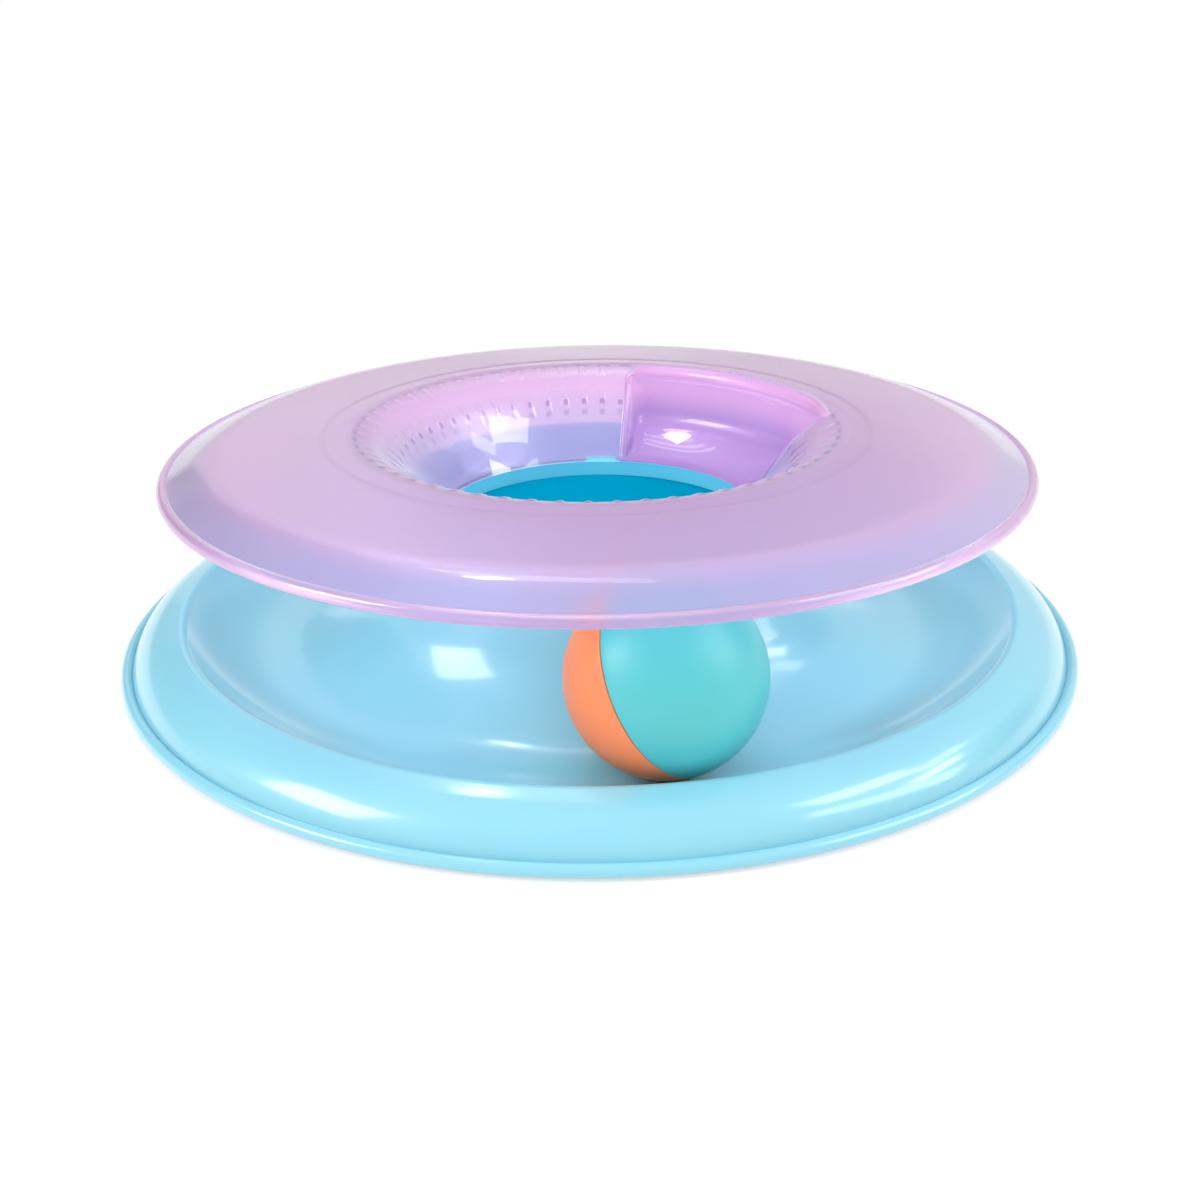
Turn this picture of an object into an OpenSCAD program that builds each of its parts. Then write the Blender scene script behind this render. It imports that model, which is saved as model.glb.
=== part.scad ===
// Cat ball track toy: a round dish with a rolling track, a lift-off top with a funnel,
// and a hollow two-part ball that is trapped between them.
// The origin is on the floor at the middle of the dish, +Z is up, and the side that
// faces a viewer in front is -Y.  All lengths are millimetres.

/* [Base dish] */
// Outer diameter of the dish, over the bead round its rim
base_d = 250; // [244:1:260]
// Wall of the dish
base_wall = 2.2; // [1.6:0.1:2.4]
// Thickness of the round bead at the rim
base_bead_d = 4; // [3.2:0.1:4.6]
// Height of the bead's lowest point above the floor
rim_lift = 0.4; // [0.2:0.1:1]
// How far the shoulder of the sloping rim lies in from the outer edge
flange_in = 7; // [6:0.5:8]
// Height of that shoulder above the floor
flange_z = 10.2; // [9.6:0.1:10.8]
// Radius that rounds the shoulder
flange_round = 15; // [10:0.5:15.5]
// Height of the lip where the sloping rim turns down into the track
lip_z = 12.65; // [12.4:0.05:13.4]
// Radius that rounds the lip
lip_round = 2.6; // [2.5:0.1:2.8]

/* [Track] */
// How far the track's middle line lies in from the outer edge of the dish
track_in = 37; // [36:0.5:38.5]
// Radius of the track's round cross-section
track_round = 28; // [27:0.5:28.5]
// Slope of the track's outer wall where it meets the lip, in degrees
track_wall_slope = 44; // [43:0.5:45]

/* [Hub] */
// Height of the level seat that carries the top
seat_z = 33.5; // [32:0.5:35]
// Height of the hub's crest above that seat
hub_rise = 8.5; // [7.5:0.5:9.5]
// Radius that rounds the hub's crest
hub_round = 2.6; // [2.5:0.1:3.2]
// How far the hub's round opening stands back from the funnel's lower edge
bore_step = 0.6; // [0.3:0.1:1.3]
// Width of the ledge that carries the centre cap
ledge_w = 2.2; // [1.6:0.1:3]

/* [Centre cap] */
// Thickness of the cap's plate
cap_t = 2; // [1.4:0.1:2.6]
// Depth of the cap's face below the seat
cap_sink = 4.1; // [3.5:0.1:5]
// Height of the skirt below the plate
cap_skirt_h = 7; // [5:0.5:9]
// Wall of the skirt
cap_skirt_wall = 1.6; // [1.2:0.1:2.2]
// Radius of the small bead that snaps under the ledge
cap_snap_r = 0.5; // [0.3:0.1:0.8]

/* [Grip pads] */
// Number of soft pads under the track
pad_count = 4; // [3:1:6]
// Diameter of a pad
pad_d = 16; // [12:1:18]
// Thickness of a pad at its middle
pad_h = 1.4; // [1.2:0.1:2]
// Thickness of the adhesive film over a pad
pad_film = 0.1; // [0.05:0.05:0.2]

/* [Top disc] */
// How far the top's outer edge lies in from the outer edge of the dish
disc_in = 14.2; // [12:0.2:17]
// Wall of the top
disc_wall = 2; // [1.6:0.1:2.2]
// Thickness of the round bead at its rim
disc_bead_d = 4; // [3.4:0.1:4.4]
// Height of the middle of that bead above the seat
disc_rim_rise = 15.3; // [14.5:0.1:16]
// How far the shoulder lies in from the outer edge
shoulder_in = 12.8; // [12:0.2:14]
// Height of the shoulder above the seat
shoulder_rise = 21.1; // [20.5:0.1:21.5]
// Radius that rounds the shoulder
shoulder_round = 40; // [30:1:44]
// Width of the smooth ring from the crown out to a shallow step
step_w = 10; // [9:0.5:12]
// Height of that step
step_h = 0.4; // [0.2:0.1:0.6]
// How far the crown, where the top turns down into the funnel, lies in from the track
crown_in = 28; // [27.5:0.1:28.5]
// Height of the crown above the seat
crown_rise = 23.5; // [23:0.1:24]
// Radius that rounds the crown
crown_round = 12; // [10:0.5:13]

/* [Funnel] */
// Width of the funnel's shallow part, from the crown in to where it gets steeper
slope_w = 8; // [7.5:0.1:8.5]
// Height of that place above the seat
break_rise = 16.5; // [16:0.1:17]
// Radius that rounds it
break_round = 8; // [5:0.5:10]
// Width of the steep part, from there in to the funnel's lower edge
steep_w = 11.3; // [11:0.1:12]
// Number of keys between the hub and the funnel
key_count = 3; // [1:1:3]
// Width of a key's notch in the funnel's lower edge
notch_w = 9.2; // [6:0.2:9.4]
// Height of a key's notch
notch_h = 2.8; // [2:0.1:4]
// Direction of the first key, in degrees from +X
key_turn = 88.1; // [87.8:0.1:94]

/* [Nubs] */
// Number of places for nubs in a full circle
nub_count = 60; // [48:1:64]
// Radius of a nub's round back
nub_round = 1.3; // [1:0.1:1.4]
// How far a nub stands out of the surface
nub_h = 0.8; // [0.5:0.1:0.9]
// Length of a nub
nub_l = 4.2; // [3:0.1:4.4]
// Slope of the rounded crown where the outer row lies on it, in degrees
nub_outer_slope = 21; // [18:1:24]
// Slope of the rounded break where the inner row lies on it, in degrees
nub_inner_slope = 44; // [43:1:47]

/* [Scoop pocket] */
// Direction of the pocket's first side, in degrees from +X
pocket_turn = 5.5; // [5:0.5:6]
// Angle that the pocket takes of the full circle
pocket_sweep = 75.5; // [74:0.5:75.5]
// Wall of the pocket
pocket_wall = 2; // [1.6:0.1:2.2]
// How far the pocket's upper edge lies in from the crown
pocket_top_in = 0.6; // [0.2:0.1:1]
// How far the corner between the pocket's wall and its floor lies in from the crown
pocket_back_in = 1.6; // [1.4:0.1:2.2]
// Height of that place above the seat
pocket_back_rise = 7.7; // [7:0.1:9]
// Radius between the wall and the floor
pocket_round = 5; // [3:0.5:6]
// Thickness of the floor's inner edge
pocket_edge_t = 0.5; // [0.4:0.1:0.8]
// Radius of the round lip along the upper edge
pocket_lip = 2.5; // [2.2:0.1:2.8]
// How far the lip stands above the crown's height
pocket_lip_stand = 0.1; // [0.1:0.1:0.4]

/* [Ball] */
// Diameter of the ball
ball_d = 44; // [40:0.5:45]
// Wall of the ball
ball_wall = 2; // [1.6:0.1:2.6]
// Direction in which the ball stands on the track, in degrees from +X
ball_turn = -80.8; // [-180:0.1:180]
// Direction of the orange half's pole, in degrees from +X
seam_turn = 152; // [0:1:360]
// Rise of that pole above the horizontal, in degrees
seam_rise = -29; // [-90:1:90]
// Depth of the lapped joint between the two halves
lap_h = 2; // [1:0.1:3]
// Diameter of the loose bead inside the ball
rattle_d = 10; // [6:0.5:14]

/* [Clearances] */
// Gap between the funnel and the hub, and between the pocket and what it sits in
fit_gap = 0.3; // [0.2:0.05:0.4]
// Gap under the ball, and under the bead inside it
roll_gap = 0.3; // [0.2:0.05:0.4]
// Gap in the lapped joint of the ball and round the cap's skirt
lap_gap = 0.1; // [0.05:0.05:0.15]

/* [Hidden] */

// Colours as the photographed toy has them
base_colour = "#9bdcf2";
pad_colour = "#d7ecf2";
cap_colour = "#019cc8";
disc_colour = "#dcbde6";
pocket_colour = "#d9a6e6";
orange_colour = "#fb9f6d";
teal_colour = "#6fced6";
rattle_colour = "#c9ccd2";

// Degrees that one short stretch of an arc turns, and one of a bead
arc_step = 4;
bead_step = 10;
// Overrun of every cut past the solid that it cuts
cut = 1;
right_angle = 90;
$fn = 96;

// Paths in the (radius, height) plane, which run from the rim inwards.
// A corner is [radius, height, rounding].  The result is a list of [place, normal],
// and the normal points to the path's left, which is the underside.
function unit(v) = v / norm(v);
function left_of(v) = [-v[1], v[0]];
function spun(v, a) = [v[0] * cos(a) - v[1] * sin(a), v[0] * sin(a) + v[1] * cos(a)];
function place(c) = [c[0], c[1]];
function signed_turn(u, v) = atan2(u[0] * v[1] - u[1] * v[0], u[0] * v[0] + u[1] * v[1]);

// Middle of the arc that rounds a corner between its two neighbours
function arc_centre(a, p, b) =
    let (u = unit(place(p) - place(a)),
         v = unit(place(b) - place(p)),
         t = signed_turn(u, v),
         side = t > 0 ? 1 : -1)
    place(p) - u * p[2] * tan(abs(t) / 2) + left_of(u) * side * p[2];

function corner_arc(a, p, b) =
    let (u = unit(place(p) - place(a)),
         v = unit(place(b) - place(p)),
         t = signed_turn(u, v),
         side = t > 0 ? 1 : -1,
         centre = arc_centre(a, p, b),
         steps = max(1, ceil(abs(t) / arc_step)))
    [for (k = [0 : steps])
        let (n = spun(left_of(u), t * k / steps))
        [centre - n * side * p[2], n]];

function rounded_path(c) =
    let (last = len(c) - 1,
         u = unit(place(c[1]) - place(c[0])),
         v = unit(place(c[last]) - place(c[last - 1])))
    concat([[place(c[0]), left_of(u)]],
           [for (i = [1 : last - 1]) each corner_arc(c[i - 1], c[i], c[i + 1])],
           [[place(c[last]), left_of(v)]]);

function upper(path) = [for (q = path) q[0]];
// A round bead that starts below a path's outer end and stops where the path starts
function bead(centre, r, below, above) =
    [for (a = [below : bead_step : above - bead_step / 2]) centre + r * [cos(a), sin(a)]];
function lower(path, wall) =
    [for (i = [len(path) - 1 : -1 : 0]) path[i][0] + path[i][1] * wall];
// The same, without the point below the path's inner end, or below either end
function lower_but_end(path, wall) =
    [for (i = [len(path) - 2 : -1 : 0]) path[i][0] + path[i][1] * wall];
function lower_but_ends(path, wall) =
    [for (i = [len(path) - 2 : -1 : 1]) path[i][0] + path[i][1] * wall];

// Where two tangents of a circle meet, given the directions of their touching points
function tangent_corner(centre, r, a, b) =
    let (c = centre + r / cos((a - b) / 2) * [cos((a + b) / 2), sin((a + b) / 2)])
    [c[0], c[1], r];

// An upright wedge round the axis, whose two sides can be set in from the radial planes
module wedge(turn, sweep, inset, reach, z0, z1) {
    middle = turn + sweep / 2;
    apex = inset / sin(sweep / 2) * [cos(middle), sin(middle)];
    translate([0, 0, z0])
        linear_extrude(z1 - z0)
            polygon([apex,
                     for (a = [turn, middle, turn + sweep])
                         apex + 2 * reach * [cos(a), sin(a)]]);
}

// A sector of a round plate
module sector(r, turn, sweep, z0, z1) {
    intersection() {
        translate([0, 0, z0])
            cylinder(r = r, h = z1 - z0);
        wedge(turn, sweep, 0, r, z0, z1);
    }
}

// Degrees round the axis that an arc of a given length takes at a given radius
function arc_angle(length, r) = length / r * 180 / PI;

// Radii from the axis, each measured in from the one before it
base_r = base_d / 2;
disc_r = base_r - disc_in;
track_r = base_r - track_in;
crown_r = track_r - crown_in;
step_r = crown_r + step_w;
break_r = crown_r - slope_w;
funnel_r = break_r - steep_w;
bore_r = funnel_r + bore_step;

// Top disc and funnel, with heights measured from the seat
disc_bead_c = [disc_r - disc_bead_d / 2, seat_z + disc_rim_rise];
// Directions round the bead where the top's upper and lower faces meet it
disc_bead_join = 130;
disc_bead_below = -160;
disc_start = disc_bead_c + disc_bead_d / 2 * [cos(disc_bead_join), sin(disc_bead_join)];
shoulder = [disc_r - shoulder_in, seat_z + shoulder_rise];
crown = [crown_r, seat_z + crown_rise, crown_round];
funnel_break = [break_r, seat_z + break_rise, break_round];
funnel_end = [funnel_r, seat_z];
// The shallow step lies on the line from the shoulder to the crown
step_slope = (crown[1] - shoulder[1]) / (shoulder[0] - crown[0]);
step_z = shoulder[1] + (shoulder[0] - step_r) * step_slope;
step_out = [step_r + step_h, step_z + step_h / 2];
step_in = [step_r - step_h, step_z - step_h / 2];
disc_path = rounded_path([
    disc_start,
    [shoulder[0], shoulder[1], shoulder_round],
    [step_out[0], step_out[1], step_h / 2],
    [step_in[0], step_in[1], step_h / 2],
    crown,
    funnel_break,
    funnel_end]);
funnel_slope = atan2(break_rise, steep_w);
funnel_outer_r = funnel_r + disc_wall / sin(funnel_slope);

// Track, and the hub's crater that the funnel sits in
track_floor = pad_h + pad_film + base_wall;
track_c = [track_r, track_floor + track_round];
crater_r = funnel_outer_r + fit_gap / sin(funnel_slope);
hub_z = seat_z + hub_rise;
crest_z = hub_z - hub_round;
crest_c = [crater_r + (crest_z - seat_z) / tan(funnel_slope) + hub_round / sin(funnel_slope),
           crest_z];
// The flare is the straight line that touches the track's circle and the crest's circle
flare_slope = atan2(crest_c[1] - track_c[1], track_c[0] - crest_c[0])
            + asin((track_round + hub_round) / norm(crest_c - track_c));
track_corner = tangent_corner(track_c, track_round, track_wall_slope - right_angle,
                              -flare_slope - right_angle);
crest_corner = tangent_corner(crest_c, hub_round, right_angle - flare_slope,
                              right_angle + funnel_slope);
function flare_r(z) = crest_corner[0] + (crest_corner[1] - z) / tan(flare_slope);

// Rim of the dish
base_bead_c = [base_r - base_bead_d / 2, rim_lift + base_bead_d / 2];
base_bead_join = 150;
base_bead_below = -150;
base_start = base_bead_c + base_bead_d / 2 * [cos(base_bead_join), sin(base_bead_join)];
wall_end = track_c + track_round * [sin(track_wall_slope), -cos(track_wall_slope)];
lip_r = wall_end[0] + (lip_z - wall_end[1]) / tan(track_wall_slope);
base_path = rounded_path([
    base_start,
    [base_r - flange_in, flange_z, flange_round],
    [lip_r, lip_z, lip_round],
    track_corner,
    crest_corner,
    [crater_r, seat_z]]);

// Centre cap and the ledge that carries it
cap_z = seat_z - cap_sink;
ledge_z = cap_z - cap_t;
ledge_r = bore_r - ledge_w;
bore_outer_r = bore_r + base_wall;

// Scoop pocket
pocket_top_r = crown_r - pocket_top_in;
pocket_back_r = crown_r - pocket_back_in;
pocket_back = [pocket_back_r, seat_z + pocket_back_rise];
pocket_lip_c = [pocket_top_r + pocket_lip, crown[1] + pocket_lip_stand - pocket_lip];
// Directions round the lip where the pocket's outer face, the funnel's face and the
// pocket's inner face meet it
pocket_lip_below = -100;
pocket_lip_join = 150;
pocket_lip_end = 180;
// Height above every cut that the pocket needs
pocket_lid_z = crown[1] + pocket_lip_stand + cut;
pocket_path = rounded_path([
    [pocket_top_r, pocket_lip_c[1]],
    [pocket_back[0], pocket_back[1], pocket_round],
    [funnel_r, seat_z + pocket_edge_t]]);
pocket_floor_slope = atan2(pocket_back_rise - pocket_edge_t, pocket_back_r - funnel_r);
pocket_foot_r = funnel_r
    + (pocket_wall / cos(pocket_floor_slope) - pocket_edge_t) / tan(pocket_floor_slope);
pocket_hole_r = pocket_lip_c[0] + pocket_lip + fit_gap;
// The opening for the pocket is wider than the pocket by the fit gap on each side
pocket_gap_angle = arc_angle(fit_gap, funnel_r);

// Ball
ball_r = ball_d / 2;
ball_c = [track_r * cos(ball_turn), track_r * sin(ball_turn), track_floor + roll_gap + ball_r];
ball_inner_r = ball_r - ball_wall;
lap_r = ball_r - ball_wall / 2;

module base_dish() {
    color(base_colour)
        difference() {
            union() {
                rotate_extrude()
                    polygon(concat(
                        upper(base_path),
                        [[bore_r, seat_z],
                         [bore_r, ledge_z],
                         [ledge_r, ledge_z],
                         [ledge_r, ledge_z - base_wall],
                         [bore_outer_r, ledge_z - base_wall],
                         [bore_outer_r, seat_z - base_wall]],
                        lower(base_path, base_wall),
                        bead(base_bead_c, base_bead_d / 2, base_bead_below, base_bead_join)));
                pocket_shelf();
                hub_keys();
            }
            hub_gap();
        }
}

// Level shelf that closes the hub where its crest is cut away for the pocket
module pocket_shelf() {
    shelf_t = base_wall;
    shelf_r = flare_r(seat_z) - base_wall / 2;
    intersection() {
        rotate_extrude()
            polygon([[bore_outer_r - base_wall / 2, seat_z - shelf_t],
                     [shelf_r, seat_z - shelf_t],
                     [shelf_r, seat_z],
                     [bore_outer_r - base_wall / 2, seat_z]]);
        sector(shelf_r + cut, pocket_turn - arc_angle(base_wall, shelf_r),
               pocket_sweep + 2 * arc_angle(base_wall, shelf_r), 0, hub_z);
    }
}

// The gap in the hub's crest that the pocket drops into
module hub_gap() {
    sector(flare_r(seat_z) + cut, pocket_turn - pocket_gap_angle,
           pocket_sweep + 2 * pocket_gap_angle, seat_z, hub_z + cut);
}

// Lugs on the seat, which stand in the funnel's notches
module hub_keys() {
    key_w = notch_w - 2 * fit_gap;
    key_l = crater_r - funnel_r;
    for (k = [0 : key_count - 1])
        rotate(key_turn + k * 360 / key_count)
            translate([crater_r - key_l + fit_gap, -key_w / 2, seat_z - base_wall / 2])
                cube([key_l, key_w, notch_h - fit_gap + base_wall / 2]);
}

module grip_pads() {
    color(pad_colour)
        for (k = [0 : pad_count - 1])
            rotate((k + 1 / 2) * 360 / pad_count)
                grip_pad();
}

// A round pad whose upper face follows the underside of the track
module grip_pad() {
    difference() {
        translate([track_r, 0, 0])
            cylinder(d = pad_d, h = track_floor);
        rotate_extrude()
            translate(track_c)
                circle(r = track_round + base_wall + pad_film, $fn = 180);
    }
}

module centre_cap() {
    skirt_r = ledge_r - lap_gap;
    color(cap_colour)
        union() {
            rotate_extrude()
                polygon([[0, ledge_z],
                         [skirt_r - cap_skirt_wall, ledge_z],
                         [skirt_r - cap_skirt_wall, ledge_z - cap_skirt_h],
                         [skirt_r, ledge_z - cap_skirt_h],
                         [skirt_r, ledge_z],
                         [bore_r - lap_gap, ledge_z],
                         [bore_r - lap_gap, cap_z - cap_t / 4],
                         [bore_r - lap_gap - cap_t / 4, cap_z],
                         [0, cap_z]]);
            rotate_extrude()
                translate([skirt_r, ledge_z - base_wall - cap_snap_r - lap_gap])
                    circle(r = cap_snap_r, $fn = 24);
        }
}

module top_disc() {
    color(disc_colour)
        difference() {
            union() {
                rotate_extrude()
                    polygon(concat(
                        upper(disc_path),
                        [[funnel_outer_r, seat_z]],
                        lower_but_end(disc_path, disc_wall),
                        bead(disc_bead_c, disc_bead_d / 2, disc_bead_below, disc_bead_join)));
                nubs();
            }
            sector(pocket_hole_r, pocket_turn - pocket_gap_angle,
                   pocket_sweep + 2 * pocket_gap_angle, seat_z - cut, pocket_lid_z);
            key_notches();
        }
}

// Two rows of short rounded ribs, one on the rounded crown and one on the rounded break
module nubs() {
    crown_c = arc_centre(step_in, crown, funnel_break);
    break_c = arc_centre(crown, funnel_break, funnel_end);
    depth = nub_round - nub_h;
    pitch = 360 / nub_count;
    margin = arc_angle(nub_round + fit_gap, break_r);
    for (k = [0 : nub_count - 1])
        let (turn = (key_turn + k * pitch) % 360)
        if (turn < pocket_turn - margin || turn > pocket_turn + pocket_sweep + margin)
            rotate(turn) {
                nub(crown_c, crown_round - depth, nub_outer_slope);
                nub(break_c, break_round - depth, nub_inner_slope);
            }
}

// One rib, which lies along an arc where that has a given slope
module nub(centre, r, slope) {
    p = centre + r * [-sin(slope), cos(slope)];
    translate([p[0], 0, p[1]])
        rotate([0, -right_angle - slope, 0])
            cylinder(r = nub_round, h = nub_l, $fn = 24, center = true);
}

// Notches in the funnel's lower edge, for the keys of the hub
module key_notches() {
    notch_out_r = funnel_outer_r + notch_h / tan(funnel_slope) + cut;
    for (k = [0 : key_count - 1])
        rotate(key_turn + k * 360 / key_count)
            translate([funnel_r - cut, -notch_w / 2, seat_z - cut])
                cube([notch_out_r - funnel_r + cut, notch_w, notch_h + cut]);
}

// A block that fills the funnel's opening, with its hollow cut out of it
module scoop_pocket() {
    join_r = pocket_lip_c[0] + pocket_lip * cos(pocket_lip_join);
    funnel_face = [for (q = disc_path) if (q[0][0] < join_r) q[0]];
    color(pocket_colour)
        difference() {
            intersection() {
                rotate_extrude()
                    polygon(concat(
                        bead(pocket_lip_c, pocket_lip, pocket_lip_below, pocket_lip_join),
                        funnel_face,
                        [[pocket_foot_r, seat_z]],
                        lower_but_ends(pocket_path, pocket_wall)));
                wedge(pocket_turn, pocket_sweep, 0, disc_r, seat_z - cut, pocket_lid_z);
            }
            intersection() {
                rotate_extrude()
                    polygon(concat(
                        upper(pocket_path),
                        [[funnel_r - cut, seat_z + pocket_edge_t],
                         [funnel_r - cut, pocket_lid_z],
                         [pocket_lip_c[0], pocket_lid_z]],
                        bead(pocket_lip_c, pocket_lip, right_angle, pocket_lip_end)));
                wedge(pocket_turn, pocket_sweep, pocket_wall, disc_r,
                      seat_z, pocket_lid_z + cut);
            }
        }
}

// Puts the middle of the ball on the track, with +Z along the orange half's pole
module at_ball() {
    translate(ball_c)
        rotate([0, right_angle - seam_rise, seam_turn])
            children();
}

// Half of the hollow ball, on the +Z side of its seam
module half_shell() {
    difference() {
        sphere(r = ball_r, $fn = 180);
        sphere(r = ball_inner_r, $fn = 180);
        translate([-ball_d, -ball_d, -2 * ball_d])
            cube(2 * ball_d);
    }
}

module lap_ring(inner, outer, z0, z1) {
    translate([0, 0, z0])
        difference() {
            cylinder(r = outer, h = z1 - z0, $fn = 180);
            translate([0, 0, -cut])
                cylinder(r = inner, h = z1 - z0 + 2 * cut, $fn = 180);
        }
}

module ball_orange_half() {
    color(orange_colour)
        at_ball()
            union() {
                half_shell();
                lap_ring(ball_inner_r, lap_r - lap_gap / 2, -lap_h, ball_wall / 4);
            }
}

module ball_teal_half() {
    color(teal_colour)
        at_ball()
            difference() {
                mirror([0, 0, 1])
                    half_shell();
                lap_ring(ball_inner_r - cut, lap_r + lap_gap / 2, -lap_h - lap_gap, cut);
            }
}

// Loose bead that stays at the bottom of the ball while the ball rolls round it
module rattle_bead() {
    color(rattle_colour)
        translate(ball_c - [0, 0, ball_inner_r - roll_gap - rattle_d / 2])
            sphere(d = rattle_d);
}

base_dish();
grip_pads();
centre_cap();
top_disc();
scoop_pocket();
ball_orange_half();
ball_teal_half();
rattle_bead();
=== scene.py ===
"""Cat ball track toy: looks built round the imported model.

Lengths in the tables below are millimetres, as in the part's source; meshes are made in metres.
"""
import bpy
import bmesh
import math
from mathutils import Matrix, Vector


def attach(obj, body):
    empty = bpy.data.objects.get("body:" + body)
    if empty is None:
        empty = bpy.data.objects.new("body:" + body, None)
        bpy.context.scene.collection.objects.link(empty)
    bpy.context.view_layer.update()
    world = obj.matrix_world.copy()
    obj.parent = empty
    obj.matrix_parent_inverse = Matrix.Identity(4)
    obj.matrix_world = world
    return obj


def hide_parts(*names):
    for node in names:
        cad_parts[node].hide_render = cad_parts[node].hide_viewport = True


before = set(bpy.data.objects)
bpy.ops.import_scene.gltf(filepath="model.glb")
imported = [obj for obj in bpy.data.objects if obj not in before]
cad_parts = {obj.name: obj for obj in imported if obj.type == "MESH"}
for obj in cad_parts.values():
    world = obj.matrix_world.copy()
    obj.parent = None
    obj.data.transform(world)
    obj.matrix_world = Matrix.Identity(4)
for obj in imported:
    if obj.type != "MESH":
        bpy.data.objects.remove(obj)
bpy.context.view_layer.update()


MM = 0.001

# Sizes that the solids have as well, in millimetres
BASE_R, BASE_WALL = 125.0, 2.2
RIM_LIFT = 0.4
TRACK_R, TRACK_ROUND, TRACK_SLOPE = 88.0, 28.0, 44.0
TRACK_FLOOR = 3.7
SEAT_Z, HUB_Z, HUB_ROUND = 33.5, 42.0, 2.6
BORE_R, LEDGE_R = 41.3, 39.1
CAP_Z, LEDGE_Z = 29.4, 27.4
DISC_R, DISC_WALL = 110.8, 2.0
DISC_BEAD_Z = 48.8
CROWN, CROWN_ROUND = (60.0, 57.0), 12.0
BREAK, BREAK_ROUND = (52.0, 50.0), 8.0
FUNNEL_R = 40.7
KEY_TURN, KEYS = 88.1, 3
NOTCH_W, NOTCH_H = 9.2, 2.8
POCKET_TURN, POCKET_SWEEP = 5.5, 75.5
POCKET_TOP_R, POCKET_WALL, POCKET_LIP = 59.4, 2.0, 2.5
POCKET_BACK, POCKET_ROUND, POCKET_EDGE = (58.4, 41.2), 5.0, 0.5
LIP_STAND = 0.1
SEAT_GAP = 0.3
BALL_R, BALL_WALL = 22.0, 2.0
BALL_TURN, SEAM_TURN, SEAM_RISE = -80.8, 152.0, -29.0
ROLL_GAP = 0.3
RATTLE_R = 5.0
PAD_R = 8.0

# The rims' beads, a little finer than in the solids
BASE_BEAD, DISC_BEAD = 1.5, 1.6
# Shapes that are softer or finer here than in the solids
STEP_R, STEP_H, STEP_HALF, STEP_ROUND = 70.0, 0.06, 0.8, 4.0
SHOULDER, SHOULDER_ROUND = (98.7, 54.6), 24.0
FUNNEL_BOW, FUNNEL_BOW_ROUND = 1.1, 80.0
FLANGE, FLANGE_ROUND = (119.2, 9.8), 13.0
LIP_Z, LIP_ROUND = 12.65, 2.6
# Directions from a bead's middle to where the dish's and the disc's skins leave it
BASE_BEAD_AT, DISC_BEAD_AT, DISC_BEAD_END = 150, 130, -160
# Nubs: how many a row, their sizes, and the slopes of the disc where the two rows lie
NUBS = 60
NUB_PITCH = 360 / NUBS
NUB_HIGH, NUB_HALF, NUB_LONG, NUB_END, NUB_END_ROUND = 0.28, 0.95, 4.2, 0.15, 0.5
NUB_SLOPES = (21.0, 44.0)
# Nubs lie inside this radius, and keep this turn clear of the pocket
NUB_MAX_R, NUB_CLEAR = 66.0, 2.4
# How much lower the key lugs are than their notches, and how much narrower at each side
KEY_DROP, KEY_SLACK = 2.0, 0.3

# The pocket's first and last side: the lip's radius there and the way over which it grows, and
# the roundings of the outline's corner and of the side wall's foot
FIRST_LIP, FIRST_GROWS, FIRST_CORNER, FIRST_FILLET = 1.3, 17.0, 1.8, 7.0
LAST_LIP, LAST_GROWS, LAST_CORNER, LAST_FILLET = 1.5, 7.0, 6.0, 4.5
# The disc ends this far under the outside of the lip
HOLE_OVERLAP = 0.05
# The lip's rows, in degrees, and the radius where it meets the disc
LIP_FROM, LIP_STEP, LIP_SEAT_R = -100, 14, 60.5
POCKET_BOW, POCKET_BOW_ROUND, POCKET_HOLLOW = -0.8, 50.0, 0.55
# At its foot the tray thins to a share of its wall, and stays this far over the seat
FOOT_THIN, FOOT_TAPER, FOOT_GAP = 0.2, 4.0, 0.05

KEY_TURNS = [KEY_TURN + k * 360 / KEYS for k in range(KEYS)]
POCKET_SPAN = math.radians(POCKET_SWEEP) * POCKET_TOP_R
POCKET_HOLE_R = POCKET_TOP_R + 2 * POCKET_LIP
NOTCH_HALF_TURN = math.degrees(NOTCH_W / 2 / (FUNNEL_R + 1))
# Slack in comparing turns, in degrees
NEAR_ZERO = 1e-6


# ---------------------------------------------------------------- profiles

def rounded(corners, step=4.0, straight=2.5):
    """Points and normals (to the left) along a path of (r, z, rounding) corners.

    Arcs are cut every few degrees, and straight stretches into short pieces.
    """
    pts = [Vector(c[:2]) for c in corners]
    out = []

    def line(a, b, n):
        count = max(1, math.ceil((b - a).length / straight))
        for k in range(count + 1):
            p = a.lerp(b, k / count)
            if not out or (p - out[-1][0]).length > 1e-5:
                out.append((p, n.copy()))

    start = pts[0]
    for i in range(1, len(pts) - 1):
        u = (pts[i] - pts[i - 1]).normalized()
        v = (pts[i + 1] - pts[i]).normalized()
        turn = math.atan2(u.x * v.y - u.y * v.x, u.dot(v))
        radius = corners[i][2]
        back = radius * math.tan(abs(turn) / 2)
        left = Vector((-u.y, u.x))
        first = pts[i] - u * back
        line(start, first, left)
        side = 1 if turn > 0 else -1
        centre = first + left * side * radius
        count = max(2, math.ceil(math.degrees(abs(turn)) / step))
        for k in range(1, count + 1):
            a = turn * k / count
            n = Vector((left.x * math.cos(a) - left.y * math.sin(a),
                        left.x * math.sin(a) + left.y * math.cos(a)))
            out.append((centre - n * side * radius, n))
        start = out[-1][0]
    v = (pts[-1] - pts[-2]).normalized()
    line(start, pts[-1], Vector((-v.y, v.x)))
    return out


def lengths(path):
    """Distance along a path at each of its points."""
    out = [0.0]
    for (p, _), (q, _) in zip(path, path[1:]):
        out.append(out[-1] + (q - p).length)
    return out


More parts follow.
